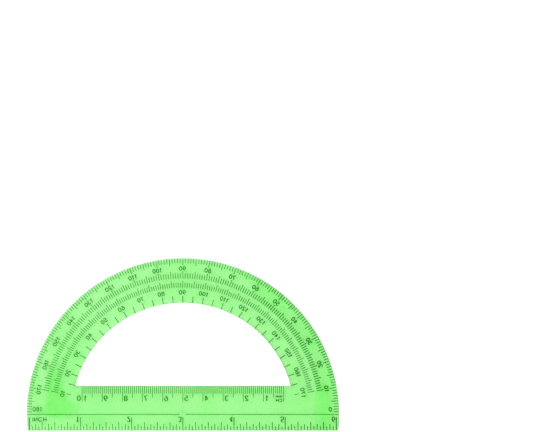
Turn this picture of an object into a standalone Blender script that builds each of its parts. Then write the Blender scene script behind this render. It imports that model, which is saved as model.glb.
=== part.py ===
"""A flat 180 degree protractor of clear green plastic, with its printed scales.

The plate lies on its reading face at z = 0 and its printed face looks up. The origin is the point
that all angles are measured from, +Y points to the 90 degree mark and +X runs along the baseline.
Every printed scale is one thin ink body: its strokes stand on a hair-thin spine.
"""
import math

import bmesh
import bpy
from mathutils import Vector
from mathutils.geometry import delaunay_2d_cdt

MM = 0.001

# plate
PLATE_RADIUS = 77.5         # outer arc, about the angle centre
INCH_EDGE_Y = -8.0          # long straight edge
WINDOW_RADIUS = 55.4        # arc of the D-shaped window, about the same centre
WINDOW_EDGE_Y = 14.2        # straight edge of the window
THICKNESS = 1.8
RIM_THICKNESS = 1.0         # what the bevels on the reading side leave at every edge
OUTER_BEVEL = 2.4           # how far the bevel reaches in from the outer edge
WINDOW_BEVEL = 1.6          # and from the window's edge
CORNER_RADIUS = 0.5
ARC_STEPS = 128
CORNER_STEPS = 3
CHORD_STEPS = 8

# ink
INK = 0.04                  # height above the printed face
LINE = 0.20                 # width of a tick
BASELINE_WIDTH = 0.18
SPINE = 0.05                # width of the hair-thin line that joins a scale's strokes
ARC_SPINE_CORNERS = 2       # strokes from one corner of a spine's plain side to the next
LEVEL_SPINE_CORNERS = 5
EDGE_MARGIN = 0.05          # bare plastic between the ink and the plate's edge

# outer degree scale, hanging from the rim
OUTER_SHORT_END = 75.0
OUTER_LONG_END = 74.05

# two fine rings of one degree ticks
FIRST_FINE_DEGREE = 10
LAST_FINE_DEGREE = 170
OUTER_RING_FOOT = 67.45
OUTER_RING_SHORT_END = 70.0
OUTER_RING_LONG_END = 70.9
INNER_RING_FOOT = 62.95
INNER_RING_SHORT_END = 65.3
INNER_RING_LONG_END = 66.25

# window degree scale, every five degrees
WINDOW_FIRST_DEGREE = 15
WINDOW_LAST_DEGREE = 165
WINDOW_TICK_END = 58.75
FREE_TICK_DEGREE = 10       # and the same on the other side
FREE_TICK_START = 56.3
FREE_TICK_END = 58.7

# centimetre scale on the window's straight edge, 0 on the +X side
CENTIMETRES = 10
MM_TICK_END_Y = 10.35
HALF_CM_TICK_END_Y = 8.3
CM_TICK_END_Y = 6.35

# inch scale on the long edge, 0 on the -X side
INCHES = 6
INCH = 25.4
SIXTEENTH_END_Y = -5.85
EIGHTH_END_Y = -4.87
QUARTER_END_Y = -3.85
INCH_TICK_END_Y = -1.45

# numerals and labels: one plain stroke font, given by its stroke centre lines
STROKE = 0.30               # width of a numeral's stroke
DIGIT_HEIGHT = 2.1          # of the centre lines, so a numeral is one stroke taller
DIGIT_WIDTH = 1.05
DIGIT_PITCH = 1.55
OUTER_NUMERAL_RADIUS = 72.4
INNER_NUMERAL_RADIUS = 60.6
ZERO_CENTRE = (73.2, 2.5)   # the outer row's level numerals at the ends of the baseline
STRAIGHT_CENTRE = (-72.2, 2.6)
CM_NUMERAL_Y = 8.0
CM_NUMERAL_SHIFT = 1.7      # from a centimetre tick to its numeral
TEN_DIGIT_SHIFT = 1.6       # the digits of 10 stand either side of their tick
INCH_NUMERAL_Y = -2.5
INCH_NUMERAL_SHIFT = -1.45
INCH_DIGIT_HEIGHT = 2.4
MM_LABEL = (47.7, 9.0)
MM_LABEL_SIZE = (1.15, 0.85)
CM_LABEL = (47.6, 7.0)
CM_LABEL_SIZE = (1.1, 1.35)
INCH_LABEL = (-71.75, -2.3)
INCH_LABEL_SIZE = (1.35, 1.75)
LABEL_STROKE = 0.22
FOOT_DROP = DIGIT_HEIGHT / 2 - 0.1      # from a numeral's middle to the spine at its foot
CM_SPINE_Y = 5.8            # below every centimetre tick
INCH_SPINE_Y = -0.75        # above every inch tick

# baseline and centre mark
BASELINE_END = 77.3
BASELINE_GAP = 1.4          # half of the bare length at the centre
CENTRE_ARC_RADIUS = 2.35
CENTRE_ARC_WIDTH = 0.12
CENTRE_TICK_LOW = -0.45
CENTRE_TICK_HIGH = 1.7
CENTRE_TICK_WIDTH = 0.12


def material(name, colour, roughness):
    """One Principled material with plain numbers."""
    mat = bpy.data.materials.new(name)
    mat.use_nodes = True
    shader = mat.node_tree.nodes["Principled BSDF"]
    shader.inputs["Base Color"].default_value = (*colour, 1.0)
    shader.inputs["Roughness"].default_value = roughness
    mat.diffuse_color = (*colour, 1.0)
    return mat


def add_object(name, mesh_data, mat):
    """Links a finished bmesh as one named object, in metres."""
    bmesh.ops.scale(mesh_data, vec=(MM, MM, MM), verts=mesh_data.verts)
    bmesh.ops.recalc_face_normals(mesh_data, faces=mesh_data.faces)
    mesh = bpy.data.meshes.new(name)
    mesh_data.to_mesh(mesh)
    mesh_data.free()
    mesh.materials.append(mat)
    obj = bpy.data.objects.new(name, mesh)
    bpy.context.scene.collection.objects.link(obj)
    return obj


def polar(radius, degrees):
    angle = math.radians(degrees)
    return (radius * math.cos(angle), radius * math.sin(angle))


# ---------------------------------------------------------------- plate

def d_loop(radius, chord_y, corner):
    """A D outline: an arc about the origin closed by a level chord, with rounded corners."""
    centre_y = chord_y + corner
    centre_x = math.sqrt((radius - corner) ** 2 - centre_y ** 2)
    meet = math.degrees(math.atan2(centre_y, centre_x))
    points = []
    for i in range(CORNER_STEPS):
        x, y = polar(corner, -90 + (meet + 90) * i / CORNER_STEPS)
        points.append((centre_x + x, centre_y + y))
    for i in range(ARC_STEPS + 1):
        points.append(polar(radius, meet + (180 - 2 * meet) * i / ARC_STEPS))
    for i in range(1, CORNER_STEPS + 1):
        x, y = polar(corner, 180 - meet + (meet + 90) * i / CORNER_STEPS)
        points.append((-centre_x + x, centre_y + y))
    for i in range(1, CHORD_STEPS):
        points.append((-centre_x + 2 * centre_x * i / CHORD_STEPS, chord_y))
    return points


def build_plate(mat):
    """The moulded plate: D loops joined all round, from the rim under to the window and back."""
    rim_z = THICKNESS - RIM_THICKNESS
    outer = d_loop(PLATE_RADIUS, INCH_EDGE_Y, CORNER_RADIUS)
    outer_in = d_loop(PLATE_RADIUS - OUTER_BEVEL, INCH_EDGE_Y + OUTER_BEVEL, CORNER_RADIUS)
    window = d_loop(WINDOW_RADIUS, WINDOW_EDGE_Y, CORNER_RADIUS)
    window_out = d_loop(WINDOW_RADIUS + WINDOW_BEVEL, WINDOW_EDGE_Y - WINDOW_BEVEL, CORNER_RADIUS)
    section = [
        (outer, THICKNESS),
        (outer, rim_z),
        (outer_in, 0.0),
        (window_out, 0.0),
        (window, rim_z),
        (window, THICKNESS),
    ]
    bm = bmesh.new()
    rings = [[bm.verts.new((x, y, z)) for x, y in loop] for loop, z in section]
    count = len(outer)
    for k, ring in enumerate(rings):
        nxt = rings[(k + 1) % len(rings)]
        flat = section[k][1] == section[(k + 1) % len(section)][1]
        for i in range(count):
            j = (i + 1) % count
            face = bm.faces.new((ring[i], ring[j], nxt[j], nxt[i]))
            face.smooth = not flat
    for k, ring in enumerate(rings):
        for i in range(count):
            edge = bm.edges.get((ring[i], ring[(i + 1) % count]))
            edge.smooth = False
    return add_object("protractor_plate", bm, mat)


# ---------------------------------------------------------------- ink

def holds(polygon, x, y):
    """True if the point is inside the polygon, whichever way it runs."""
    inside = False
    for a, b in zip(polygon, polygon[1:] + polygon[:1]):
        if (a[1] > y) != (b[1] > y) and x < a[0] + (y - a[1]) * (b[0] - a[0]) / (b[1] - a[1]):
            inside = not inside
    return inside


def covered(points, faces, polygons):
    """The triangles whose middle lies in one of the polygons."""
    boxes = []
    for polygon in polygons:
        xs = [p[0] for p in polygon]
        ys = [p[1] for p in polygon]
        boxes.append((min(xs), max(xs), min(ys), max(ys), polygon))
    kept = []
    for face in faces:
        x = sum(points[i].x for i in face) / 3
        y = sum(points[i].y for i in face) / 3
        for x0, x1, y0, y1, polygon in boxes:
            if x0 < x < x1 and y0 < y < y1 and holds(polygon, x, y):
                kept.append(list(face))
                break
    return kept


def rim_of(faces):
    """The edges that only one of the faces has."""
    sides = set()
    for face in faces:
        sides.update(zip(face, face[1:] + face[:1]))
    return [(a, b) for a, b in sides if (b, a) not in sides]


def without_straight_corners(points, rim):
    """The rim's edges with the corners left out that lie on a straight run."""
    after = dict(rim)
    before = {b: a for a, b in rim}
    if len(after) < len(rim):
        return rim
    for i in list(after):
        a, b = before[i], after[i]
        into = points[i] - points[a]
        out = points[b] - points[i]
        if abs(into.cross(out)) < 1e-5 * into.length * out.length and after.get(b) != i:
            after[a] = b
            before[b] = a
            del after[i]
            del before[i]
    return list(after.items())


def united(polygons):
    """Polygons that may overlap, as few triangles that share their corners."""
    points = []
    edges = []
    for polygon in polygons:
        first = len(points)
        count = len(polygon)
        points += [Vector(p) for p in polygon]
        edges += [(first + i, first + (i + 1) % count) for i in range(count)]
    points, _, faces, _, _, _ = delaunay_2d_cdt(points, edges, [], 0, 1e-5)
    rim = without_straight_corners(points, rim_of(covered(points, faces, polygons)))
    used = sorted({i for edge in rim for i in edge})
    place = {i: k for k, i in enumerate(used)}
    edges = [(place[a], place[b]) for a, b in rim]
    points, _, faces, _, _, _ = delaunay_2d_cdt([points[i] for i in used], edges, [], 0, 1e-5)
    return points, covered(points, faces, polygons)


def ink_body(name, polygons, mat):
    """Flat polygons that may overlap, united and raised into one closed ink body."""
    points, faces = united(polygons)
    used = sorted({i for face in faces for i in face})
    bm = bmesh.new()
    low = {i: bm.verts.new((points[i].x, points[i].y, THICKNESS)) for i in used}
    high = {i: bm.verts.new((points[i].x, points[i].y, THICKNESS + INK)) for i in used}
    for face in faces:
        bm.faces.new([high[i] for i in face])
        bm.faces.new([low[i] for i in reversed(face)])
    for a, b in rim_of(faces):
        bm.faces.new((high[b], high[a], low[a], low[b]))
    return add_object(name, bm, mat)


def comb(name, stations, corners, mat):
    """Strokes on a spine. A station is a foot, the way its stroke points and the stroke's length.

    A station of no length only carries the spine. The stations run to the right of the strokes'
    direction all along the scale.
    """
    polygons = []
    block = []
    last = len(stations) - 1
    for k, (foot, way, length) in enumerate(stations):
        along = (way[1], -way[0])

        def corner(across, height):
            return (foot[0] + along[0] * across + way[0] * height,
                    foot[1] + along[1] * across + way[1] * height)

        half = LINE / 2 if length else 0.0
        if k == 0:
            block = [corner(-half, 0.0)]
        block.append(corner(-half, SPINE))
        if length:
            block.append(corner(half, SPINE))
            polygons.append([corner(-half, SPINE), corner(half, SPINE),
                             corner(half, length), corner(-half, length)])
        if k == last or (k and k % corners == 0):
            plain = corner(half if k == last else 0.0, 0.0)
            polygons.append(block + [plain])
            block = [plain, block[-1]]
    return ink_body(name, polygons, mat)


def radial_stations(degrees, foot, end_of):
    """Stations about the origin, clockwise for strokes that point out, else anticlockwise."""
    outward = end_of(degrees[0]) > foot
    stations = []
    for degree in sorted(degrees, reverse=outward):
        x, y = polar(1.0, degree)
        way = (x, y) if outward else (-x, -y)
        stations.append(((foot * x, foot * y), way, abs(end_of(degree) - foot)))
    return stations


def build_outer_degree_scale(mat):
    """One degree ticks that hang from the rim. The baseline stands for 0 and 180."""
    def end_of(degree):
        return OUTER_LONG_END if degree % 5 == 0 else OUTER_SHORT_END

    stations = radial_stations(list(range(1, 180)), PLATE_RADIUS - EDGE_MARGIN, end_of)
    comb("outer_degree_scale", stations, ARC_SPINE_CORNERS, mat)


def build_fine_ring(name, foot, short_end, long_end, mat):
    """A ring of one degree ticks that stand on their inner ends."""
    def end_of(degree):
        return long_end if degree % 5 == 0 else short_end

    degrees = list(range(FIRST_FINE_DEGREE, LAST_FINE_DEGREE + 1))
    comb(name, radial_stations(degrees, foot, end_of), ARC_SPINE_CORNERS, mat)


def build_window_scale(mat):
    """Five degree ticks on the window's rim, with a line along the rim."""
    foot = WINDOW_RADIUS + EDGE_MARGIN

    def end_of(degree):
        return WINDOW_TICK_END if degree % 5 == 0 else foot

    degrees = []
    for degree in range(WINDOW_FIRST_DEGREE, WINDOW_LAST_DEGREE, 5):
        degrees += [degree, degree + 2.5]
    degrees.append(WINDOW_LAST_DEGREE)
    comb("window_degree_scale", radial_stations(degrees, foot, end_of), 1, mat)


def build_free_tick(name, degree, mat):
    """A five degree tick that stands clear of the window, past the end of its arc."""
    ink_body(name, [bar(polar(FREE_TICK_START, degree), polar(FREE_TICK_END, degree), LINE)], mat)


def build_centimetre_scale(mat):
    """Millimetre ticks that hang from the window's straight edge."""
    foot_y = WINDOW_EDGE_Y - EDGE_MARGIN
    stations = []
    for i in range(CENTIMETRES * 10 + 1):
        end = MM_TICK_END_Y
        if i % 10 == 0:
            end = CM_TICK_END_Y
        elif i % 5 == 0:
            end = HALF_CM_TICK_END_Y
        stations.append(((CENTIMETRES * 5.0 - i, foot_y), (0.0, -1.0), foot_y - end))
    comb("centimetre_scale", stations, LEVEL_SPINE_CORNERS, mat)


def build_inch_scale(mat):
    """Sixteenth inch ticks that stand on the long edge."""
    foot_y = INCH_EDGE_Y + EDGE_MARGIN
    stations = []
    for i in range(INCHES * 16 + 1):
        x = (i / 16 - INCHES / 2) * INCH
        end = SIXTEENTH_END_Y
        if i % 16 == 0:
            end = INCH_TICK_END_Y
        elif i % 4 == 0:
            end = QUARTER_END_Y
        elif i % 2 == 0:
            end = EIGHTH_END_Y
        stations.append(((x, foot_y), (0.0, 1.0), end - foot_y))
    comb("inch_scale", stations, LEVEL_SPINE_CORNERS, mat)


def bar(start, end, width):
    """A straight stroke as one polygon."""
    return stroke([start, end], width, False)[0]


def stroke(line, width, closed):
    """A line of the given width, as one polygon for each of its segments, with mitred joints."""
    count = len(line)
    sides = []
    for i, (x, y) in enumerate(line):
        before = line[i - 1] if i or closed else line[i]
        after = line[(i + 1) % count] if i < count - 1 or closed else line[i]
        way_in = Vector((x - before[0], y - before[1]))
        way_out = Vector((after[0] - x, after[1] - y))
        way_in = (way_in if way_in.length else way_out).normalized()
        way_out = (way_out if way_out.length else way_in).normalized()
        mitre = Vector((-way_in.y - way_out.y, way_in.x + way_out.x)).normalized()
        reach = width / 2 / max(mitre.dot(Vector((-way_in.y, way_in.x))), 0.5)
        sides.append(((x + mitre.x * reach, y + mitre.y * reach),
                      (x - mitre.x * reach, y - mitre.y * reach)))
    polygons = []
    for i in range(count if closed else count - 1):
        left0, right0 = sides[i]
        left1, right1 = sides[(i + 1) % count]
        polygons.append([left0, right0, right1, left1])
    return polygons


# ---------------------------------------------------------------- stroke font

def oval(centre, half_width, half_height, start, end, steps):
    """Points along an oval from one angle to another."""
    points = []
    for i in range(steps + 1):
        x, y = polar(1.0, start + (end - start) * i / steps)
        points.append((centre[0] + half_width * x, centre[1] + half_height * y))
    return points


def glyph_lines(character):
    """The stroke centre lines of a character in a unit square, each with whether it is closed."""
    ring = {
        "0": [((0.5, 0.5), 0.5, 0.5)],
        "6": [((0.5, 0.31), 0.5, 0.31)],
        "8": [((0.5, 0.27), 0.5, 0.27), ((0.5, 0.77), 0.42, 0.23)],
    }
    steps = 10 if character == "0" else 8
    if character == "9":
        return [([(1 - x, 1 - y) for x, y in line], closed) for line, closed in glyph_lines("6")]
    lines = [(oval(*shape, 0, 360, steps)[:-1], True) for shape in ring.get(character, [])]
    plain = {
        "1": [[(0.6, 0.0), (0.6, 1.0)], [(0.15, 0.76), (0.6, 0.97)]],
        "2": [oval((0.5, 0.72), 0.48, 0.28, 160, -35, 5) + [(0.06, 0.03)],
              [(0.0, 0.0), (1.0, 0.0)]],
        "3": [oval((0.45, 0.76), 0.45, 0.24, 150, -90, 5),
              oval((0.45, 0.27), 0.55, 0.27, 90, -150, 5)],
        "4": [[(0.75, 0.0), (0.75, 1.0)], [(0.7, 0.98), (0.05, 0.32)], [(0.0, 0.3), (1.0, 0.3)]],
        "5": [[(0.9, 1.0), (0.2, 1.0), (0.14, 0.56)],
              oval((0.45, 0.31), 0.55, 0.31, 125, -150, 6)],
        "6": [oval((0.75, 0.31), 0.75, 0.69, 180, 95, 4)],
        "7": [[(0.0, 1.0), (1.0, 1.0), (0.35, 0.0)]],
        "I": [[(0.5, 0.0), (0.5, 1.0)]],
        "N": [[(0.0, 0.0), (0.0, 1.0)], [(0.0, 1.0), (1.0, 0.0)], [(1.0, 0.0), (1.0, 1.0)]],
        "C": [oval((0.6, 0.5), 0.6, 0.5, 50, 310, 7)],
        "H": [[(0.0, 0.0), (0.0, 1.0)], [(1.0, 0.0), (1.0, 1.0)], [(0.0, 0.5), (1.0, 0.5)]],
        "M": [[(0.0, 0.0), (0.0, 1.0)], [(0.0, 1.0), (0.5, 0.2)], [(0.5, 0.2), (1.0, 1.0)],
              [(1.0, 1.0), (1.0, 0.0)]],
        "m": [[(0.0, 0.0), (0.0, 1.0)], [(0.0, 0.8), (0.25, 1.0), (0.5, 0.8), (0.5, 0.0)],
              [(0.5, 0.8), (0.75, 1.0), (1.0, 0.8), (1.0, 0.0)]],
    }
    return lines + [(line, False) for line in plain.get(character, [])]


def text_polygons(text, centre, onward, up, size=(DIGIT_WIDTH, DIGIT_HEIGHT), pitch=DIGIT_PITCH,
                  width=STROKE):
    """A text about a centre. onward is the reading direction and up is the top of the letters."""
    polygons = []
    for k, character in enumerate(text):
        offset = (k - (len(text) - 1) / 2) * pitch

        def place(point):
            u = offset + (point[0] - 0.5) * size[0]
            v = (point[1] - 0.5) * size[1]
            return (centre[0] + onward[0] * u + up[0] * v, centre[1] + onward[1] * u + up[1] * v)

        for line, closed in glyph_lines(character):
            polygons += stroke([place(p) for p in line], width, closed)
    return polygons


def radial_numeral(number, radius, degree):
    """A degree numeral with its top outward. The print is mirrored, so it reads anticlockwise."""
    x, y = polar(1.0, degree)
    return text_polygons(str(number), (radius * x, radius * y), (-y, x), (x, y))


def arc_line(radius, start, end, steps):
    """A hair-thin arc about the origin."""
    return stroke([polar(radius, start + (end - start) * i / steps) for i in range(steps + 1)],
                  SPINE, False)


def build_outer_numerals(mat):
    """0 to 180 from the +X side to the -X side. The first and the last stand level."""
    foot = OUTER_NUMERAL_RADIUS - FOOT_DROP
    polygons = arc_line(foot, 1.2, 178.8, 54)
    for degree in range(10, 180, 10):
        polygons += radial_numeral(degree, OUTER_NUMERAL_RADIUS, degree)
    for text, centre in (("0", ZERO_CENTRE), ("180", STRAIGHT_CENTRE)):
        polygons += text_polygons(text, centre, (-1.0, 0.0), (0.0, 1.0))
        y = centre[1] - FOOT_DROP
        reach = (len(text) - 1) * DIGIT_PITCH / 2 + 0.1
        start = min(math.copysign(foot, centre[0]), centre[0] - reach)
        polygons.append(bar((start, y), (centre[0] + reach, y), SPINE))
    ink_body("outer_degree_numerals", polygons, mat)


def build_inner_numerals(mat):
    """10 to 170 from the -X side to the +X side."""
    polygons = arc_line(INNER_NUMERAL_RADIUS - FOOT_DROP, 8, 172, 48)
    for degree in range(10, 180, 10):
        polygons += radial_numeral(180 - degree, INNER_NUMERAL_RADIUS, degree)
    ink_body("inner_degree_numerals", polygons, mat)


def riser(x, spine_y, end_y):
    """A hair-thin line from a level spine into a character."""
    return bar((x, spine_y), (x, end_y), SPINE)


def build_centimetre_numerals(mat):
    """1 to 10 and the unit labels, mirrored left to right, each joined to one level spine."""
    onward = (-1.0, 0.0)
    up = (0.0, 1.0)
    polygons = []
    places = []
    for i in range(1, CENTIMETRES):
        places.append((str(i), CENTIMETRES * 5.0 - i * 10 + CM_NUMERAL_SHIFT))
    places.append(("1", -CENTIMETRES * 5.0 + TEN_DIGIT_SHIFT))
    places.append(("0", -CENTIMETRES * 5.0 - TEN_DIGIT_SHIFT))
    for text, x in places:
        polygons += text_polygons(text, (x, CM_NUMERAL_Y), onward, up)
        polygons.append(riser(x, CM_SPINE_Y, CM_NUMERAL_Y))
    for text, centre, size in (("mm", MM_LABEL, MM_LABEL_SIZE), ("CM", CM_LABEL, CM_LABEL_SIZE)):
        pitch = size[0] * 1.55
        polygons += text_polygons(text, centre, onward, up, size, pitch, LABEL_STROKE)
        for side in (-0.5, 0.5):
            polygons.append(riser(centre[0] + side * pitch, CM_SPINE_Y, centre[1]))
    low = min(x for _, x in places)
    high = MM_LABEL[0] + MM_LABEL_SIZE[0]
    polygons.append(bar((low, CM_SPINE_Y), (high, CM_SPINE_Y), SPINE))
    ink_body("centimetre_numerals", polygons, mat)


def build_inch_numerals(mat):
    """1 to 6 and the unit label, tops toward the long edge, each joined to one level spine."""
    onward = (1.0, 0.0)
    up = (0.0, -1.0)
    polygons = []
    for i in range(1, INCHES + 1):
        x = (i - INCHES / 2) * INCH + INCH_NUMERAL_SHIFT
        polygons += text_polygons(str(i), (x, INCH_NUMERAL_Y), onward, up,
                                  (DIGIT_WIDTH, INCH_DIGIT_HEIGHT))
        polygons.append(riser(x, INCH_SPINE_Y, INCH_NUMERAL_Y))
    pitch = INCH_LABEL_SIZE[0] * 1.4
    polygons += text_polygons("INCH", INCH_LABEL, onward, up, INCH_LABEL_SIZE, pitch, LABEL_STROKE)
    for k in range(4):
        x = INCH_LABEL[0] + (k - 1.5) * pitch
        polygons.append(riser(x, INCH_SPINE_Y, INCH_LABEL[1] - 0.2))
    polygons.append(bar((INCH_LABEL[0] - 1.5 * pitch, INCH_SPINE_Y), (x_of_last_numeral(), INCH_SPINE_Y),
                        SPINE))
    ink_body("inch_numerals", polygons, mat)


def x_of_last_numeral():
    return INCHES / 2 * INCH + INCH_NUMERAL_SHIFT


def build_centre_arc(mat):
    """The small half circle over the angle centre."""
    clear = math.degrees(math.asin(0.2 / CENTRE_ARC_RADIUS))
    line = [polar(CENTRE_ARC_RADIUS, clear + (180 - 2 * clear) * i / 16) for i in range(17)]
    ink_body("centre_arc", stroke(line, CENTRE_ARC_WIDTH, False), mat)


def build_all():
    for obj in list(bpy.data.objects):
        bpy.data.objects.remove(obj, do_unlink=True)
    plastic = material("clear_green_plastic", (0.35, 0.93, 0.30), 0.12)
    ink = material("dark_green_ink", (0.005, 0.08, 0.005), 0.5)
    build_plate(plastic)
    build_outer_degree_scale(ink)
    build_outer_numerals(ink)
    build_fine_ring("outer_fine_ring", OUTER_RING_FOOT, OUTER_RING_SHORT_END,
                    OUTER_RING_LONG_END, ink)
    build_fine_ring("inner_fine_ring", INNER_RING_FOOT, INNER_RING_SHORT_END,
                    INNER_RING_LONG_END, ink)
    build_inner_numerals(ink)
    build_window_scale(ink)
    build_free_tick("window_tick_right", FREE_TICK_DEGREE, ink)
    build_free_tick("window_tick_left", 180 - FREE_TICK_DEGREE, ink)
    build_centimetre_scale(ink)
    build_centimetre_numerals(ink)
    build_inch_scale(ink)
    build_inch_numerals(ink)
    for name, start, end in (("baseline_left", -BASELINE_END, -BASELINE_GAP),
                             ("baseline_right", BASELINE_GAP, BASELINE_END)):
        ink_body(name, [bar((start, 0.0), (end, 0.0), BASELINE_WIDTH)], ink)
    build_centre_arc(ink)
    ink_body("centre_tick", [bar((0.0, CENTRE_TICK_LOW), (0.0, CENTRE_TICK_HIGH),
                                 CENTRE_TICK_WIDTH)], ink)


build_all()
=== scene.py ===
"""Looks of a flat clear green protractor: a moulded plate with its printed scales.

The plate lies on its reading face and the printed face looks up, so all the print is mirrored.
The origin is the point that the angles are measured from. Dimensions of the plate and its print are
in millimetres. Those of the materials, the stage and the camera are in metres.
"""

import functools
import math

import bpy
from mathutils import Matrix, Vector
from mathutils.geometry import delaunay_2d_cdt


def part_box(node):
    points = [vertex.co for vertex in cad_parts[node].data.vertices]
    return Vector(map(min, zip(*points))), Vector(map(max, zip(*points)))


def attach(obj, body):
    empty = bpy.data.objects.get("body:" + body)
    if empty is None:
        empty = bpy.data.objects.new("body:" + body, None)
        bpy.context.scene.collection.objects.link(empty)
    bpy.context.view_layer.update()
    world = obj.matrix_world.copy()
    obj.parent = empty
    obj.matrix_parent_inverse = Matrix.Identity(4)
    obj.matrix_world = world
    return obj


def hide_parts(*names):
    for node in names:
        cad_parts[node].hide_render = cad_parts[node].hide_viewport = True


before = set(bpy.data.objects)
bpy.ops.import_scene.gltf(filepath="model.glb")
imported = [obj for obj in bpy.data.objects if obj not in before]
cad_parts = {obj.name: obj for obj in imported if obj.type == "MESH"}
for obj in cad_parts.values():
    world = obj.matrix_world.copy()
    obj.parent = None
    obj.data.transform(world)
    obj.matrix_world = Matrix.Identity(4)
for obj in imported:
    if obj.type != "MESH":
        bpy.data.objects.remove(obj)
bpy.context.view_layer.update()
MM = 0.001
BODY = "root"

# plate, in millimetres
PLATE_LOW, PLATE_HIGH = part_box("protractor_plate")
PLATE_RADIUS = PLATE_HIGH[1] / MM
INCH_EDGE_Y = PLATE_LOW[1] / MM
THICKNESS = PLATE_HIGH[2] / MM
WINDOW_RADIUS = 55.4
WINDOW_EDGE_Y = 14.2
RIM_THICKNESS = 1.0                 # what the bevels under the edges leave upright
OUTER_BEVEL = 2.4                   # how far the bevel reaches in from the outer edge
WINDOW_BEVEL = 1.6
CORNER_RADIUS = 0.4
EDGE_ROUND = 0.14
EDGE_ROUND_STEPS = 3
OUTER_EDGE_FADE = 0.30              # how far the painted edge shade reaches into the face
WINDOW_EDGE_FADE = 0.45
OUTER_SHADE_BAND = (0.0, 1.3, 2.0)        # a faint band of painted shade beside the edge: strength, width, end
WINDOW_SHADE_BAND = (0.07, 1.3, 2.0)
OUTER_CHORD_STRENGTH = 0.95         # darkness of the painted shade along the straight outer edge
WINDOW_CHORD_STRENGTH = 0.35
ARC_TOP_LOSS = 0.55                 # what the painted shade along an arc's edge loses of its darkness at the top
ARC_TOP_POWER = 4                   # how late on the way up it is lost
ARC_SIDES = (0.8, 0.2)              # the painted shade's darkness at an arc's middle, and what +X adds to it
RIM_STEEPNESS = 0.8                 # faces whose normal rises less than this belong to the rim
BEVEL_STEEPNESS = 0.99              # the rest that face down, but less squarely, belong to a bevel
# the share of painted shade along the edges, kept on each point
EDGE_SHADE_ATTRIBUTE = "painted_edge_shade"
ARC_STEPS = 360
CORNER_STEPS = 6
CHORD_STEPS = 40

# ink, in millimetres
INK_TOP = THICKNESS + 0.025
INK_BOTTOM = THICKNESS - 0.01       # just inside the plastic, so that no two faces share a plane
LINE = 0.30
HEAVY_LINE = 0.41                   # outer degree marks on the side that the scale starts from
HEAVY_DEGREES = (50, 75)            # fully heavy up to the first, not at all after the second
WINDOW_LINE = 0.38
INCH_LINES = (0.29, 0.46)           # inch ticks at the two ends of their scale
END_LINE = 0.6                      # the first and last inch ticks
CM_LINE = 0.25
BASELINE_WIDTH = 0.33
DEGREE_STROKES = (0.42, 0.32)       # upright and level parts of a numeral
HEAVY_STROKES = (0.50, 0.38)        # outer degree numerals beside the heavy marks
LEVEL_STROKES = (0.40, 0.32)
SCALE_STROKES = (0.55, 0.28)
LABEL_STROKES = (0.37, 0.32)
EDGE_MARGIN = 0.06

OUTER_SHORT_END = 75.0
OUTER_LONG_END = 74.05
OUTER_RING = (67.45, 70.0, 70.9)
INNER_RING = (62.95, 65.3, 66.25)
RING_DEGREES = range(10, 171)
WINDOW_TICK_END = 58.75
WINDOW_DEGREES = range(15, 166, 5)
FREE_TICK = (56.3, 58.7)
FREE_TICK_DEGREES = (10, 170)
CENTIMETRES = 10
MM_TICK_ENDS_Y = (10.35, 8.3, 6.35)
INCHES = 6
INCH = 25.4
INCH_TICK_ENDS_Y = (-5.85, -4.87, -3.85, -1.45)
BASELINE_END = 77.38
BASELINE_GAP = 1.4
CENTRE_ARC_RADIUS = 2.6
CENTRE_ARC_DROP = 0.7               # its middle lies below the baseline
CENTRE_ARC_ENDS = (20, 160)         # in degrees
CENTRE_ARC_STEPS = 32
CENTRE_TICK_ENDS = (-0.45, 1.7)
CENTRE_LINE = 0.14

DEGREE_DIGIT = (1.2, 1.85)           # width and height of the stroke centre lines
LEVEL_DIGIT = (1.15, 2.05)
CM_DIGIT = (1.45, 2.4)
INCH_DIGIT = (1.25, 2.5)
DIGIT_PITCH = 1.8
ONE_PITCH = 1.4
OUTER_NUMERAL_RADIUS = 72.4
OUTER_NUMERAL_SHIFT = 0.15
INNER_NUMERAL_RADIUS = 60.6
INNER_NUMERAL_SHIFT = 0.25
ZERO_CENTRE = (73.2, 2.5)
STRAIGHT_CENTRE = (-72.2, 2.6)
CM_NUMERAL_Y = 8.0
CM_NUMERAL_SHIFT = 1.7
TEN_DIGIT_SHIFT = 1.6
INCH_NUMERAL_Y = -2.5
INCH_NUMERAL_SHIFT = -1.45
SMALL_LETTERS = (("m", 48.55, 1.15), ("m", 46.85, 1.15))    # letter, middle, width
SMALL_LETTERS_LEVEL = (8.8, 0.75)                           # middle, height
CM_LETTERS = (("C", 48.6, 1.05), ("M", 47.0, 1.3))
CM_LETTERS_LEVEL = (6.95, 1.15)
INCH_LETTERS = (("I", -74.4, 1.0), ("N", -73.0, 1.3), ("C", -70.8, 1.7), ("H", -68.5, 1.3))
INCH_LETTERS_LEVEL = (-2.5, 1.85)

MIRRORED = ((-1.0, 0.0), (0.0, 1.0))    # reading direction and top of the centimetre print
INVERTED = ((1.0, 0.0), (0.0, -1.0))    # and of the inch print

# plastic: the tint that light takes at one surface, and how deep the tint is from place to place
LIGHT_TINT = (0.612, 0.995, 0.553)
DEEP_TINT = (0.420, 0.968, 0.345)
# the colour of the painted shade along the edges
EDGE_SHADE_COLOUR = (0.05, 0.24, 0.04)
BASE_DEPTH = 0.20                   # 0 is the light tint, 1 the deep one
DEPTH_GRAIN = 0.22
FLOW_SCALE = 28.0                   # noise scales are in one per metre
FLOW_SHARE = 0.75
CLOUD_SCALE = 160.0
CLOUD_SHARE = 0.25
SMEAR_SCALE = 90.0
SMEAR_ROUGHNESS = (0.03, 0.10)
BEVEL_ROUGHNESS = (0.35, 0.50)
RIPPLE_SCALE = 220.0
RIPPLE_STRENGTH = 0.12
BUMP_DISTANCE = 0.0001
PLASTIC_IOR = 1.49
NOISE_SPAN = (0.35, 0.7)            # the range that most of a noise lies in
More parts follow.
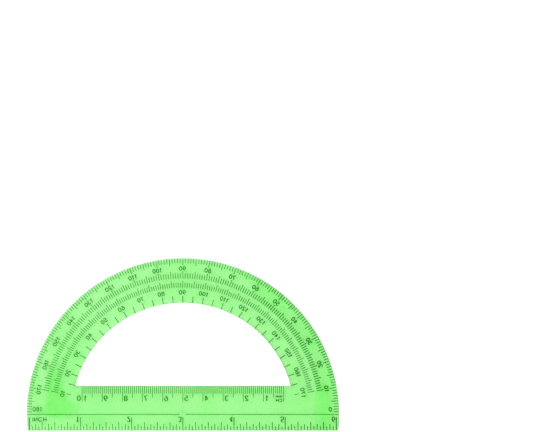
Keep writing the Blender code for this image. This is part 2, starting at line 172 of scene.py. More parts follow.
# ovals of painted reflection that make the tint deeper or lighter: middle and reach along x and y
# in metres, the share of the reach where the fading starts, and how much depth they add
PAINTED_REFLECTIONS = (
    ((-0.0605, 0.0025), (0.0118, 0.0062), 0.45, 0.60),
    ((-0.0625, 0.0070), (0.0085, 0.0085), 0.40, 0.45),
    ((-0.0635, 0.0145), (0.0055, 0.0125), 0.45, 0.50),
    ((-0.0775, 0.0010), (0.0045, 0.0180), 0.40, -0.35),
    ((0.0693, 0.0030), (0.0048, 0.0165), 0.72, 0.45),
    ((0.0775, 0.0010), (0.0045, 0.0160), 0.40, -0.28),
    ((0.0130, 0.0030), (0.0070, 0.0120), 0.30, 0.14),
    ((0.0200, 0.0115), (0.0320, 0.0035), 0.50, 0.20),
    ((-0.0450, -0.0035), (0.0130, 0.0040), 0.50, 0.25),
    ((-0.0400, 0.0560), (0.0600, 0.0340), 0.20, -0.19),
    ((-0.0700, 0.0230), (0.0070, 0.0200), 0.30, -0.20),
    ((0.0600, 0.0050), (0.0060, 0.0080), 0.30, 0.15),
)
PATCH_WANDER = 0.0035               # how far the outlines of the patches wander
WANDER_SCALE = 130.0
REFLECTION_BAND_RADIUS = (0.0665, 0.0705)    # the painted reflection beside the outer rim starts and is full here
REFLECTION_BAND_SIDE = (0.032, 0.038)        # and it starts and is full at these x
REFLECTION_BAND_DEPTH = 0.27
BLOTCH_SCALE = 75.0
BLOTCH_SPAN = (0.35, 0.65)
BLOTCH_RANGE = (0.55, 1.45)         # what the blotches make of the depth of that painted reflection

# rim
RIM_TINT = (0.16, 0.72, 0.12)
RIM_DEEP_TINT = (0.09, 0.56, 0.07)
RIM_FLOW_SCALE = 60.0
RIM_FLOW_SPAN = (0.3, 0.7)
RIM_GRAIN_SCALE = 900.0
RIM_ROUGHNESS = (0.12, 0.28)
RIM_GRAIN_STRENGTH = 0.15
RIM_CLEARNESS = 0.55

# inks: darker and paler colour
NUMERAL_INK = ((0.001, 0.13, 0.0005), (0.004, 0.25, 0.002))
TICK_INK = ((0.001, 0.19, 0.0005), (0.003, 0.28, 0.0015))
BASELINE_INK = ((0.001, 0.25, 0.0005), (0.003, 0.34, 0.0015))
CENTRE_INK = ((0.10, 0.58, 0.08), (0.19, 0.72, 0.15))
INK_SIDE = (-0.02, 0.06)            # lighter up to the first x, and not at all from the second
INK_SIDE_LIGHTENING = 0.65
INK_COVER_SCALE = 70.0
INK_COVER_THINNING = 0.5
INK_GRAIN_SCALE = 2500.0
INK_GRAIN_SPAN = (0.3, 0.7)
INK_ROUGHNESS = (0.42, 0.6)
INK_SPECULAR = 0.08

# stage
FLOOR_REACH = 3.0
FLOOR_GAP = 0.0001
FLOOR_COLOUR = (0.9, 0.9, 0.9, 1.0)
FLOOR_ROUGHNESS = 0.9
FLOOR_SPECULAR = 0.1
SURROUND_STRENGTH = 1.52
LAMP_PLACE = (-0.7, 0.5, 1.3)
LAMP_SIZE = (1.6, 1.2)
LAMP_ENERGY = 14.0

# camera: straight above, its axis where the picture's middle meets the printed face
VIEW_WIDTH = 0.2645
VIEW_AXIS = (0.04153, 0.09845)
VIEW_HEIGHT = 2.0
SENSOR = 36.0
CLIP_END = 20.0


# ------------------------------------------------------------------ small tools

def polar(radius, degrees):
    """A point by its radius and its angle."""
    angle = math.radians(degrees)
    return (radius * math.cos(angle), radius * math.sin(angle))


def add_piece(name, points, faces, material, replaced, smooth=None):
    """A named mesh piece from points in millimetres."""
    mesh = bpy.data.meshes.new(name)
    mesh.from_pydata([(x * MM, y * MM, z * MM) for x, y, z in points], [], faces)
    if smooth:
        mesh.polygons.foreach_set("use_smooth", smooth)
    mesh.materials.append(material)
    mesh.validate()
    mesh.update()
    piece = bpy.data.objects.new(name, mesh)
    bpy.context.scene.collection.objects.link(piece)
    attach(piece, BODY)
    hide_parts(*replaced)
    return piece


# ------------------------------------------------------------------ plate

def d_loop(radius, chord_y, corner):
    """A D outline: an arc about the origin closed by a level chord, with rounded corners."""
    centre_y = chord_y + corner
    centre_x = math.sqrt((radius - corner) ** 2 - centre_y ** 2)
    meet = math.degrees(math.atan2(centre_y, centre_x))
    points = []
    for i in range(CORNER_STEPS):
        x, y = polar(corner, -90 + (meet + 90) * i / CORNER_STEPS)
        points.append((centre_x + x, centre_y + y))
    for i in range(ARC_STEPS + 1):
        points.append(polar(radius, meet + (180 - 2 * meet) * i / ARC_STEPS))
    for i in range(1, CORNER_STEPS + 1):
        x, y = polar(corner, 180 - meet + (meet + 90) * i / CORNER_STEPS)
        points.append((-centre_x + x, centre_y + y))
    for i in range(1, CHORD_STEPS):
        points.append((-centre_x + 2 * centre_x * i / CHORD_STEPS, chord_y))
    return points


def edge_section(bevel, fade, shade_band):
    """From the printed face round the rim to the reading face: distance in, height, share of
    painted edge shade.
    """
    rim_z = THICKNESS - RIM_THICKNESS
    slope = rim_z / bevel
    strength, width, end = shade_band
    section = [(end, THICKNESS, 0.0), (width, THICKNESS, strength),
               (EDGE_ROUND + fade, THICKNESS, strength)]
    for i in range(EDGE_ROUND_STEPS + 1):
        angle = math.radians(90 * i / EDGE_ROUND_STEPS)
        section.append((EDGE_ROUND * (1 - math.sin(angle)),
                        THICKNESS - EDGE_ROUND * (1 - math.cos(angle)), 1.0))
    section.append((0.0, rim_z + EDGE_ROUND, 1.0))
    section.append((EDGE_ROUND * 0.3, rim_z, 1.0))
    section.append((EDGE_ROUND, rim_z - EDGE_ROUND * slope, 0.0))
    section.append((bevel - 2 * EDGE_ROUND, 2 * EDGE_ROUND * slope, 0.0))
    section.append((bevel, EDGE_ROUND * slope * 0.4, 0.0))
    section.append((bevel + 2 * EDGE_ROUND, 0.0, 0.0))
    return section


def edge_strength(x, y, radius, chord_y, chord_strength):
    """How dark the painted shade along an edge is: most towards +X, least at the top of an arc."""
    if y < chord_y + 2 * CORNER_RADIUS:
        return chord_strength
    middle, side = ARC_SIDES
    return (1 - ARC_TOP_LOSS * (y / radius) ** ARC_TOP_POWER) * (middle + side * x / radius)


def build_plate(material, rim_material, bevel_material):
    """The moulded plate, with rounded edges and bevels under its rims.

    Its surface runs over the outer edge to the reading face, and back up over the window's edge.
    """
    loops = []
    # each point's share of the painted shade along the edges
    edge_shades = []
    for inset, z, tint_with_painted_light in edge_section(OUTER_BEVEL, OUTER_EDGE_FADE, OUTER_SHADE_BAND):
        loop = d_loop(PLATE_RADIUS - inset, INCH_EDGE_Y + inset, CORNER_RADIUS)
        loops.append((loop, z))
        edge_shades += [tint_with_painted_light * edge_strength(x, y, PLATE_RADIUS, INCH_EDGE_Y, OUTER_CHORD_STRENGTH)
                  for x, y in loop]
    for inset, z, tint_with_painted_light in reversed(edge_section(WINDOW_BEVEL, WINDOW_EDGE_FADE, WINDOW_SHADE_BAND)):
        loop = d_loop(WINDOW_RADIUS + inset, WINDOW_EDGE_Y - inset, CORNER_RADIUS)
        loops.append((loop, z))
        edge_shades += [tint_with_painted_light * edge_strength(x, y, WINDOW_RADIUS, WINDOW_EDGE_Y, WINDOW_CHORD_STRENGTH)
                  for x, y in loop]
    points = [(x, y, z) for loop, z in loops for x, y in loop]
    count = len(loops[0][0])
    faces = []
    smooth = []
    for k in range(len(loops)):
        nxt = (k + 1) % len(loops)
        flat = loops[k][1] == loops[nxt][1]
        for i in range(count):
            j = (i + 1) % count
            faces.append((k * count + j, k * count + i, nxt * count + i, nxt * count + j))
            smooth.append(not flat)
    plate = add_piece("moulded_plate", points, faces, material,
                      ["protractor_plate"], smooth)
    attribute = plate.data.attributes.new(EDGE_SHADE_ATTRIBUTE, "FLOAT", "POINT")
    attribute.data.foreach_set("value", edge_shades)
    plate.data.materials.append(rim_material)
    plate.data.materials.append(bevel_material)
    for polygon in plate.data.polygons:
        if abs(polygon.normal.z) < RIM_STEEPNESS:
            polygon.material_index = 1
        elif -BEVEL_STEEPNESS < polygon.normal.z < 0:
            polygon.material_index = 2
    return plate


# ------------------------------------------------------------------ ink shapes

def stroke(line, closed, width_of):
    """A centre line as one polygon for each of its segments, with mitred joints.

    width_of gives the width for the direction that the stroke runs in.
    """
    count = len(line)
    sides = []
    for i, (x, y) in enumerate(line):
        before = line[i - 1] if i or closed else line[i]
        after = line[(i + 1) % count] if i < count - 1 or closed else line[i]
        way_in = Vector((x - before[0], y - before[1]))
        way_out = Vector((after[0] - x, after[1] - y))
        way_in = (way_in if way_in.length else way_out).normalized()
        way_out = (way_out if way_out.length else way_in).normalized()
        mitre = Vector((-way_in.y - way_out.y, way_in.x + way_out.x)).normalized()
        reach = width_of(mitre) / 2 / max(mitre.dot(Vector((-way_in.y, way_in.x))), 0.5)
        sides.append(((x + mitre.x * reach, y + mitre.y * reach),
                      (x - mitre.x * reach, y - mitre.y * reach)))
    polygons = []
    for i in range(count if closed else count - 1):
        left0, right0 = sides[i]
        left1, right1 = sides[(i + 1) % count]
        polygons.append([left0, right0, right1, left1])
    return polygons


def holds(polygon, x, y):
    """True if the point is inside the polygon, whichever way it runs."""
    inside = False
    for a, b in zip(polygon, polygon[1:] + polygon[:1]):
        if (a[1] > y) != (b[1] > y) and x < a[0] + (y - a[1]) * (b[0] - a[0]) / (b[1] - a[1]):
            inside = not inside
    return inside


def rim_of(faces):
    """The edges that only one of the faces has."""
    sides = set()
    for face in faces:
        sides.update(zip(face, face[1:] + face[:1]))
    return sorted((a, b) for a, b in sides if (b, a) not in sides)


def united(polygons):
    """Polygons that may overlap, as triangles that share their corners."""
    points = []
    edges = []
    for polygon in polygons:
        first = len(points)
        count = len(polygon)
        points += [Vector(p) for p in polygon]
        edges += [(first + i, first + (i + 1) % count) for i in range(count)]
    points, _, faces, _, _, _ = delaunay_2d_cdt(points, edges, [], 0, 1e-5)
    kept = []
    for face in faces:
        x = sum(points[i].x for i in face) / 3
        y = sum(points[i].y for i in face) / 3
        if any(holds(polygon, x, y) for polygon in polygons):
            kept.append(list(face))
    used = sorted({i for face in kept for i in face})
    place = {i: k for k, i in enumerate(used)}
    return ([(points[i].x, points[i].y) for i in used],
            [[place[i] for i in face] for face in kept])


class Print:
    """Collects flat marks and raises them all into one ink piece."""

    def __init__(self):
        """Starts with no marks."""
        self.points = []
        self.faces = []

    def add(self, points, faces):
        """One mark: corners in millimetres, and its faces as seen from above."""
        area = 0.0
        for face in faces:
            for a, b in zip(face, face[1:] + face[:1]):
                area += points[a][0] * points[b][1] - points[b][0] * points[a][1]
        if area < 0:
            faces = [face[::-1] for face in faces]
        low = len(self.points)
        high = low + len(points)
        self.points += [(x, y, INK_BOTTOM) for x, y in points]
        self.points += [(x, y, INK_TOP) for x, y in points]
        for face in faces:
            self.faces.append([high + i for i in face])
            self.faces.append([low + i for i in reversed(face)])
        for a, b in rim_of(faces):
            self.faces.append([high + b, high + a, low + a, low + b])

    def bar(self, start, end, width):
        """A straight mark."""
        along = Vector((end[0] - start[0], end[1] - start[1])).normalized()
        x, y = -along.y * width / 2, along.x * width / 2
        self.add([(start[0] + x, start[1] + y), (start[0] - x, start[1] - y),
                  (end[0] - x, end[1] - y), (end[0] + x, end[1] + y)], [[0, 1, 2, 3]])

    def letter(self, character, centre, onward, up, size, strokes):
        """One character. onward is the reading direction, up the top of the letters."""
        points, faces = glyph(character, size, strokes)
        self.add([(centre[0] + onward[0] * u + up[0] * v, centre[1] + onward[1] * u + up[1] * v)
                  for u, v in points], faces)

    def number(self, text, centre, onward, up, size, strokes):
        """A number about a centre, its ones closer to their neighbours."""
        cells = [ONE_PITCH if character == "1" else DIGIT_PITCH for character in text]
        offset = -sum(cells) / 2
        for character, cell in zip(text, cells):
            offset += cell / 2
            place = (centre[0] + onward[0] * offset, centre[1] + onward[1] * offset)
            self.letter(character, place, onward, up, size, strokes)
            offset += cell / 2

    def finish(self, name, material, *replaced):
        """The piece that all the marks make."""
        return add_piece(name, self.points, self.faces, material, replaced)


# ------------------------------------------------------------------ stroke font

def oval(centre, half_width, half_height, start, end, steps):
    """Points along an oval from one angle to another."""
    points = []
    for i in range(steps + 1):
        x, y = polar(1.0, start + (end - start) * i / steps)
        points.append((centre[0] + half_width * x, centre[1] + half_height * y))
    return points


def glyph_lines(character):
    """The stroke centre lines of a character in a unit square, each with whether it is closed."""
    rings = {
        "0": [((0.5, 0.5), 0.5, 0.5)],
        "6": [((0.5, 0.31), 0.5, 0.31)],
        "8": [((0.5, 0.27), 0.5, 0.27), ((0.5, 0.77), 0.42, 0.23)],
    }
    if character == "9":
        return [([(1 - x, 1 - y) for x, y in line], closed) for line, closed in glyph_lines("6")]
    lines = [(oval(*shape, 0, 360, 24)[:-1], True) for shape in rings.get(character, [])]
    plain = {
        "1": [[(0.55, -0.06), (0.55, 1.06)], [(0.16, 0.74), (0.38, 0.84), (0.52, 0.98)]],
        "2": [oval((0.5, 0.72), 0.46, 0.28, 165, -38, 14) + [(0.06, 0.03)],
              [(0.0, 0.0), (1.0, 0.0)]],
        "3": [oval((0.45, 0.76), 0.43, 0.24, 155, -90, 14),
              oval((0.45, 0.27), 0.53, 0.27, 90, -155, 16)],
        "4": [[(0.72, 0.0), (0.72, 1.0)], [(0.68, 0.99), (0.04, 0.31)], [(0.0, 0.3), (1.05, 0.3)]],
        "5": [[(0.92, 1.0), (0.2, 1.0)], [(0.2, 1.0), (0.12, 0.54)],
              oval((0.44, 0.31), 0.54, 0.31, 128, -155, 18)],
        "6": [oval((0.75, 0.31), 0.75, 0.69, 180, 85, 10)],
        "7": [[(0.0, 1.0), (1.0, 1.0)], [(0.98, 0.98), (0.62, 0.5), (0.4, 0.0)]],
        "I": [[(0.5, 0.0), (0.5, 1.0)]],
        "N": [[(0.0, 0.0), (0.0, 1.0)], [(0.0, 1.0), (1.0, 0.0)], [(1.0, 0.0), (1.0, 1.0)]],
        "C": [oval((0.6, 0.5), 0.6, 0.5, 48, 312, 18)],
        "H": [[(0.0, 0.0), (0.0, 1.0)], [(1.0, 0.0), (1.0, 1.0)], [(0.0, 0.5), (1.0, 0.5)]],
        "M": [[(0.0, 0.0), (0.0, 1.0)], [(0.0, 1.0), (0.5, 0.15)], [(0.5, 0.15), (1.0, 1.0)],
              [(1.0, 1.0), (1.0, 0.0)]],
        "m": [[(0.0, 0.0), (0.0, 1.0)],
              oval((0.25, 0.72), 0.25, 0.28, 180, 0, 8) + [(0.5, 0.0)],
              oval((0.75, 0.72), 0.25, 0.28, 180, 0, 8) + [(1.0, 0.0)]],
    }
    return lines + [(line, False) for line in plain.get(character, [])]


@functools.cache
def glyph(character, size, strokes):
    """One character about its middle, in millimetres, as corners and triangles."""
    upright, level = strokes

    def width_of(across):
        return level + (upright - level) * abs(across.x)

    polygons = []
    for line, closed in glyph_lines(character):
        line = [((x - 0.5) * size[0], (y - 0.5) * size[1]) for x, y in line]
        polygons += stroke(line, closed, width_of)
    return united(polygons)


# ------------------------------------------------------------------ scales

def outer_width(degree):
    """The width of an outer degree mark, wider at the start of its scale."""
    full, none = HEAVY_DEGREES
    share = min(max((none - degree) / (none - full), 0.0), 1.0)
    return LINE + (HEAVY_LINE - LINE) * share


def radial_bar(marks, degree, start, end, width):
    """A degree mark from one radius to another."""
    marks.bar(polar(start, degree), polar(end, degree), width)


def radial_numeral(marks, number, radius, degree, shift, strokes):
    """A degree numeral with its top outward. Mirrored, so it reads anticlockwise."""
    x, y = polar(1.0, degree)
    centre = (radius * x - shift * y, radius * y + shift * x)
    marks.number(str(number), centre, (-y, x), (x, y), DEGREE_DIGIT, strokes)


def letters(marks, row, level, directions):
    """A row of letters, each with its own middle and width."""
    for character, x, width in row:
        marks.letter(character, (x, level[0]), *directions, (width, level[1]), LABEL_STROKES)


def build_outer_scale(ink, thin_ink):
    """The degree scale on the outer rim and its numerals."""
    ticks = Print()
    for degree in range(1, 180):
        end = OUTER_LONG_END if degree % 5 == 0 else OUTER_SHORT_END
        radial_bar(ticks, degree, PLATE_RADIUS - EDGE_MARGIN, end, outer_width(degree))
    ticks.finish("outer_degree_ticks", thin_ink, "outer_degree_scale")
    numerals = Print()
    for degree in range(10, 180, 10):
        strokes = HEAVY_STROKES if degree < HEAVY_DEGREES[1] else DEGREE_STROKES
        radial_numeral(numerals, degree, OUTER_NUMERAL_RADIUS, degree, OUTER_NUMERAL_SHIFT,
                       strokes)
    numerals.number("0", ZERO_CENTRE, *MIRRORED, LEVEL_DIGIT, DEGREE_STROKES)
    numerals.number("180", STRAIGHT_CENTRE, *MIRRORED, LEVEL_DIGIT, LEVEL_STROKES)
    numerals.finish("outer_numerals", ink, "outer_degree_numerals")


def build_rings(ink):
    """The two fine rings of one degree marks."""
    for name, ring, node in (("outer_ring_ticks", OUTER_RING, "outer_fine_ring"),
                             ("inner_ring_ticks", INNER_RING, "inner_fine_ring")):
        marks = Print()
        for degree in RING_DEGREES:
            width = outer_width(degree) if ring == OUTER_RING else LINE
            radial_bar(marks, degree, ring[0], ring[2] if degree % 5 == 0 else ring[1], width)
        marks.finish(name, ink, node)


def build_inner_scale(ink, thin_ink):
    """The inner degree numerals and the marks on the window's rim."""
    numerals = Print()
    for degree in range(10, 180, 10):
        radial_numeral(numerals, 180 - degree, INNER_NUMERAL_RADIUS, degree,
                       INNER_NUMERAL_SHIFT, DEGREE_STROKES)
    numerals.finish("inner_numerals", ink, "inner_degree_numerals")
    ticks = Print()
    for degree in WINDOW_DEGREES:
        radial_bar(ticks, degree, WINDOW_RADIUS + EDGE_MARGIN, WINDOW_TICK_END, WINDOW_LINE)
    for degree in FREE_TICK_DEGREES:
        radial_bar(ticks, degree, *FREE_TICK, LINE)
    ticks.finish("window_ticks", thin_ink, "window_degree_scale", "window_tick_right",
                 "window_tick_left")


def build_centimetre_scale(ink, thin_ink):
    """The centimetre scale on the window's straight edge. It starts on the +X side."""
    ticks = Print()
    for i in range(CENTIMETRES * 10 + 1):
        x = CENTIMETRES * 5.0 - i
        length = 2 if i % 10 == 0 else 1 if i % 5 == 0 else 0
        ticks.bar((x, WINDOW_EDGE_Y - EDGE_MARGIN), (x, MM_TICK_ENDS_Y[length]), CM_LINE)
    ticks.finish("centimetre_ticks", thin_ink, "centimetre_scale")
    numerals = Print()
    for i in range(1, CENTIMETRES):
        x = CENTIMETRES * 5.0 - i * 10 + CM_NUMERAL_SHIFT
        numerals.letter(str(i), (x, CM_NUMERAL_Y), *MIRRORED, CM_DIGIT, SCALE_STROKES)
    left = -CENTIMETRES * 5.0
    for digit, x in (("1", left + TEN_DIGIT_SHIFT), ("0", left - TEN_DIGIT_SHIFT)):
        numerals.letter(digit, (x, CM_NUMERAL_Y), *MIRRORED, CM_DIGIT, SCALE_STROKES)
    letters(numerals, SMALL_LETTERS, SMALL_LETTERS_LEVEL, MIRRORED)
    letters(numerals, CM_LETTERS, CM_LETTERS_LEVEL, MIRRORED)
    numerals.finish("centimetre_numbers", ink, "centimetre_numerals")


def build_inch_scale(ink, thin_ink):
    """The inch scale on the long edge, in sixteenths. It starts on the -X side."""
    ticks = Print()
    for i in range(INCHES * 16 + 1):
        x = (i / 16 - INCHES / 2) * INCH
        length = 3 if i % 16 == 0 else 2 if i % 4 == 0 else 1 if i % 2 == 0 else 0
        width = INCH_LINES[0] + (INCH_LINES[1] - INCH_LINES[0]) * i / (INCHES * 16)
        if i in (0, INCHES * 16):
            width = END_LINE
        ticks.bar((x, INCH_EDGE_Y + EDGE_MARGIN), (x, INCH_TICK_ENDS_Y[length]), width)
    ticks.finish("inch_ticks", thin_ink, "inch_scale")
    numerals = Print()
    for i in range(1, INCHES + 1):
        x = (i - INCHES / 2) * INCH + INCH_NUMERAL_SHIFT
        numerals.letter(str(i), (x, INCH_NUMERAL_Y), *INVERTED, INCH_DIGIT, SCALE_STROKES)
    letters(numerals, INCH_LETTERS, INCH_LETTERS_LEVEL, INVERTED)
    numerals.finish("inch_numbers", ink, "inch_numerals")


def build_baseline(line_ink, faint_ink):
    """The baseline, broken at its middle by the centre mark."""
    line = Print()
    line.bar((-BASELINE_END, 0.0), (-BASELINE_GAP, 0.0), BASELINE_WIDTH)
    line.bar((BASELINE_GAP, 0.0), (BASELINE_END, 0.0), BASELINE_WIDTH)
    line.finish("baseline", line_ink, "baseline_left", "baseline_right")
    centre = Print()
    arc = oval((0.0, -CENTRE_ARC_DROP), CENTRE_ARC_RADIUS, CENTRE_ARC_RADIUS, *CENTRE_ARC_ENDS,
               CENTRE_ARC_STEPS)
    centre.add(*united(stroke(arc, False, lambda across: CENTRE_LINE)))
    centre.bar((0.0, CENTRE_TICK_ENDS[0]), (0.0, CENTRE_TICK_ENDS[1]), CENTRE_LINE)
    centre.finish("centre_mark", faint_ink, "centre_arc", "centre_tick")


# ------------------------------------------------------------------ materials

def new_material(name):
    """A material with its nodes, its links and its shader."""
    material = bpy.data.materials.new(name)
    material.use_nodes = True
    nodes = material.node_tree.nodes
    return material, nodes, material.node_tree.links, nodes["Principled BSDF"]


def object_place(nodes):
    """The place on the object, in metres."""
    return nodes.new("ShaderNodeTexCoord").outputs["Object"]


def noise_node(nodes, links, place, scale, detail, roughness=0.5):
    """A noise whose grain is given by its scale, in one per metre."""
    texture = nodes.new("ShaderNodeTexNoise")
    texture.inputs["Scale"].default_value = scale
    texture.inputs["Detail"].default_value = detail
    texture.inputs["Roughness"].default_value = roughness
    links.new(place, texture.inputs["Vector"])
    return texture


def noise(nodes, links, place, scale, detail, roughness=0.5):
    """The value of a noise."""
    return noise_node(nodes, links, place, scale, detail, roughness).outputs["Fac"]


def ramp(nodes, links, value, span, low_colour, high_colour):
    """Two colours, mixed between two values."""
    node = nodes.new("ShaderNodeValToRGB")
    for element, position, colour in zip(node.color_ramp.elements, span,
                                         (low_colour, high_colour)):
        element.position = position
        element.color = (*colour, 1.0)
    links.new(value, node.inputs["Fac"])
    return node.outputs["Color"]


def mapped(nodes, links, value, span, target):
    """A value carried smoothly from one range to another."""
    node = nodes.new("ShaderNodeMapRange")
    node.interpolation_type = "SMOOTHSTEP"
    node.inputs["From Min"].default_value = span[0]
    node.inputs["From Max"].default_value = span[1]
    node.inputs["To Min"].default_value = target[0]
    node.inputs["To Max"].default_value = target[1]
    links.new(value, node.inputs["Value"])
    return node.outputs["Result"]


def maths(nodes, links, operation, first, second):
    """A sum or product of two values, of which the second may be a plain number."""
    node = nodes.new("ShaderNodeMath")
    node.operation = operation
    links.new(first, node.inputs[0])
    if isinstance(second, float):
        node.inputs[1].default_value = second
    else:
        links.new(second, node.inputs[1])
    return node.outputs[0]


def vector_maths(nodes, links, operation, first, second=None):
    """The node of a sum or product of a vector and a fixed one, or of a vector alone."""
    node = nodes.new("ShaderNodeVectorMath")
    node.operation = operation
    links.new(first, node.inputs[0])
    if second:
        node.inputs[1].default_value = second
    return node


def bump(nodes, links, height, strength):
    """The normal of a fine relief."""
    node = nodes.new("ShaderNodeBump")
    node.inputs["Strength"].default_value = strength
    node.inputs["Distance"].default_value = BUMP_DISTANCE
    links.new(height, node.inputs["Height"])
    return node.outputs["Normal"]


def patch(nodes, links, place, middle, reach, start, strength):
    """A soft oval of painted reflection that fades from its strength to nothing."""
    offset = vector_maths(nodes, links, "SUBTRACT", place, (*middle, 0.0))
    scaled = vector_maths(nodes, links, "MULTIPLY", offset.outputs["Vector"],
                          (1 / reach[0], 1 / reach[1], 0.0))
    length = vector_maths(nodes, links, "LENGTH", scaled.outputs["Vector"])
    return mapped(nodes, links, length.outputs["Value"], (start, 1.0), (strength, 0.0))


def wandering(nodes, links, place):
    """The place, moved a little to and fro, so that an outline drawn from it isn't regular."""
    texture = noise_node(nodes, links, place, WANDER_SCALE, 2.0)
    centred = vector_maths(nodes, links, "SUBTRACT", texture.outputs["Color"], (0.5, 0.5, 0.5))
    moved = vector_maths(nodes, links, "MULTIPLY_ADD", centred.outputs["Vector"],
                         (PATCH_WANDER, PATCH_WANDER, 0.0))
    links.new(place, moved.inputs[2])
    return moved.outputs["Vector"]


def streak(nodes, links, place):
    """A blotchy deeper band of painted reflection that follows the outer rim on the side of the 0
    degree mark.
    """
    parts = nodes.new("ShaderNodeSeparateXYZ")
    links.new(place, parts.inputs["Vector"])
    length = vector_maths(nodes, links, "LENGTH", place)
    band = mapped(nodes, links, length.outputs["Value"], REFLECTION_BAND_RADIUS, (0.0, REFLECTION_BAND_DEPTH))
    side = mapped(nodes, links, parts.outputs["X"], REFLECTION_BAND_SIDE, (0.0, 1.0))
    blotch = mapped(nodes, links, noise(nodes, links, place, BLOTCH_SCALE, 1.0), BLOTCH_SPAN,
                    BLOTCH_RANGE)
    return maths(nodes, links, "MULTIPLY", maths(nodes, links, "MULTIPLY", band, side), blotch)


def tint_depth(nodes, links, place):
    """How deep the tint is: a gentle noise, and the painted reflections of the patches and of the
    band beside the rim.
    """
    flow = noise(nodes, links, place, FLOW_SCALE, 2.0)
    cloud = noise(nodes, links, place, CLOUD_SCALE, 3.0)
    blend = maths(nodes, links, "ADD", maths(nodes, links, "MULTIPLY", flow, FLOW_SHARE),
                  maths(nodes, links, "MULTIPLY", cloud, CLOUD_SHARE))
    depth = mapped(nodes, links, blend, NOISE_SPAN, (BASE_DEPTH, BASE_DEPTH + DEPTH_GRAIN))
    stirred = wandering(nodes, links, place)
    for row in PAINTED_REFLECTIONS:
        depth = maths(nodes, links, "ADD", depth, patch(nodes, links, stirred, *row))
    return maths(nodes, links, "ADD", depth, streak(nodes, links, stirred))


def clear_plastic(name, roughness):
    """Clear green plastic: a little deeper or lighter in tint in places, by painted reflections."""
    material, nodes, links, shader = new_material(name)
    place = object_place(nodes)
    tint_with_painted_light = ramp(nodes, links, tint_depth(nodes, links, place), (0.0, 1.0), LIGHT_TINT, DEEP_TINT)
    # painted shade along the edges, mixed over the tint
    edge_shade_node = nodes.new("ShaderNodeAttribute")
    edge_shade_node.attribute_name = EDGE_SHADE_ATTRIBUTE
    both = nodes.new("ShaderNodeMix")
    both.data_type = "RGBA"
    links.new(edge_shade_node.outputs["Fac"], both.inputs["Factor"])
    links.new(tint_with_painted_light, both.inputs["A"])
    both.inputs["B"].default_value = (*EDGE_SHADE_COLOUR, 1.0)
    links.new(both.outputs["Result"], shader.inputs["Base Color"])
    smear = noise(nodes, links, place, SMEAR_SCALE, 4.0, 0.6)
    links.new(mapped(nodes, links, smear, NOISE_SPAN, roughness), shader.inputs["Roughness"])
    ripple = noise(nodes, links, place, RIPPLE_SCALE, 2.0)
    links.new(bump(nodes, links, ripple, RIPPLE_STRENGTH), shader.inputs["Normal"])
    shader.inputs["IOR"].default_value = PLASTIC_IOR
    shader.inputs["Transmission Weight"].default_value = 1.0
    return material


def rim_plastic():
    """The upright rim, where the tint of the whole width gathers, a little frosted by its mould."""
    material, nodes, links, shader = new_material("deep_green_rim")
    place = object_place(nodes)
    flow = noise(nodes, links, place, RIM_FLOW_SCALE, 3.0)
    links.new(ramp(nodes, links, flow, RIM_FLOW_SPAN, RIM_DEEP_TINT, RIM_TINT),
              shader.inputs["Base Color"])
    grain = noise(nodes, links, place, RIM_GRAIN_SCALE, 3.0, 0.6)
    links.new(mapped(nodes, links, grain, NOISE_SPAN, RIM_ROUGHNESS), shader.inputs["Roughness"])
    links.new(bump(nodes, links, grain, RIM_GRAIN_STRENGTH), shader.inputs["Normal"])
    shader.inputs["IOR"].default_value = PLASTIC_IOR
    shader.inputs["Transmission Weight"].default_value = RIM_CLEARNESS
    return material


def printed_ink(name, darker_colour, paler_colour):
    """Matt ink, thinner in places, and darkest towards +X."""
    material, nodes, links, shader = new_material(name)
    place = object_place(nodes)
    parts = nodes.new("ShaderNodeSeparateXYZ")
    links.new(place, parts.inputs["Vector"])
    side = mapped(nodes, links, parts.outputs["X"], INK_SIDE, (INK_SIDE_LIGHTENING, 0.0))
    cover = noise(nodes, links, place, INK_COVER_SCALE, 3.0, 0.6)
    cover = mapped(nodes, links, cover, NOISE_SPAN, (0.0, INK_COVER_THINNING))
    lightening = maths(nodes, links, "ADD", side, cover)
    links.new(ramp(nodes, links, lightening, (0.0, 1.0), darker_colour, paler_colour), shader.inputs["Base Color"])
    grain = noise(nodes, links, place, INK_GRAIN_SCALE, 2.0)
    links.new(mapped(nodes, links, grain, INK_GRAIN_SPAN, INK_ROUGHNESS),
              shader.inputs["Roughness"])
    shader.inputs["Specular IOR Level"].default_value = INK_SPECULAR
    return material


def white_floor():
    """Pale matt floor."""
    material, _, _, shader = new_material("pale_floor")
    shader.inputs["Base Color"].default_value = FLOOR_COLOUR
    shader.inputs["Roughness"].default_value = FLOOR_ROUGHNESS
    shader.inputs["Specular IOR Level"].default_value = FLOOR_SPECULAR
    return material


# ------------------------------------------------------------------ stage

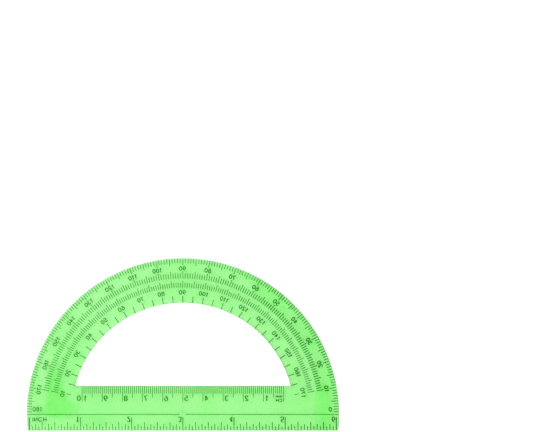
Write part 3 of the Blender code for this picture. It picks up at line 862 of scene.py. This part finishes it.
def build_floor():
    """A pale floor just under the plate."""
    mesh = bpy.data.meshes.new("floor")
    corners = [(-FLOOR_REACH, -FLOOR_REACH, -FLOOR_GAP), (FLOOR_REACH, -FLOOR_REACH, -FLOOR_GAP),
               (FLOOR_REACH, FLOOR_REACH, -FLOOR_GAP), (-FLOOR_REACH, FLOOR_REACH, -FLOOR_GAP)]
    mesh.from_pydata(corners, [], [(0, 1, 2, 3)])
    mesh.materials.append(white_floor())
    floor = bpy.data.objects.new("floor", mesh)
    bpy.context.scene.collection.objects.link(floor)


def build_lights():
    """A soft white surround and one large soft lamp."""
    world = bpy.data.worlds.new("studio")
    world.use_nodes = True
    background = world.node_tree.nodes["Background"]
    background.inputs["Color"].default_value = (1.0, 1.0, 1.0, 1.0)
    background.inputs["Strength"].default_value = SURROUND_STRENGTH
    bpy.context.scene.world = world

    lamp = bpy.data.lights.new("soft_lamp", "AREA")
    lamp.shape = "RECTANGLE"
    lamp.size, lamp.size_y = LAMP_SIZE
    lamp.energy = LAMP_ENERGY
    lamp_object = bpy.data.objects.new("soft_lamp", lamp)
    lamp_object.location = LAMP_PLACE
    lamp_object.rotation_euler = Vector(LAMP_PLACE).to_track_quat("Z", "Y").to_euler()
    bpy.context.scene.collection.objects.link(lamp_object)


def build_camera():
    """The camera, looking straight down."""
    camera = bpy.data.cameras.new("camera")
    camera.sensor_width = SENSOR
    camera.lens = SENSOR * VIEW_HEIGHT / VIEW_WIDTH
    camera.clip_end = CLIP_END
    camera_object = bpy.data.objects.new("camera", camera)
    camera_object.location = (*VIEW_AXIS, THICKNESS * MM + VIEW_HEIGHT)
    bpy.context.scene.collection.objects.link(camera_object)
    bpy.context.scene.camera = camera_object


def main():
    """Every piece, then the stage and the camera."""
    bpy.context.scene.view_settings.view_transform = "Standard"
    ink = printed_ink("dark_green_ink", *NUMERAL_INK)
    thin_ink = printed_ink("green_tick_ink", *TICK_INK)
    glossy = clear_plastic("clear_green_plastic", SMEAR_ROUGHNESS)
    frosted = clear_plastic("frosted_green_plastic", BEVEL_ROUGHNESS)
    build_plate(glossy, rim_plastic(), frosted)
    build_outer_scale(ink, thin_ink)
    build_rings(thin_ink)
    build_inner_scale(ink, thin_ink)
    build_centimetre_scale(ink, thin_ink)
    build_inch_scale(ink, thin_ink)
    build_baseline(printed_ink("green_line_ink", *BASELINE_INK),
                   printed_ink("faint_green_ink", *CENTRE_INK))
    build_floor()
    build_lights()
    build_camera()


main()
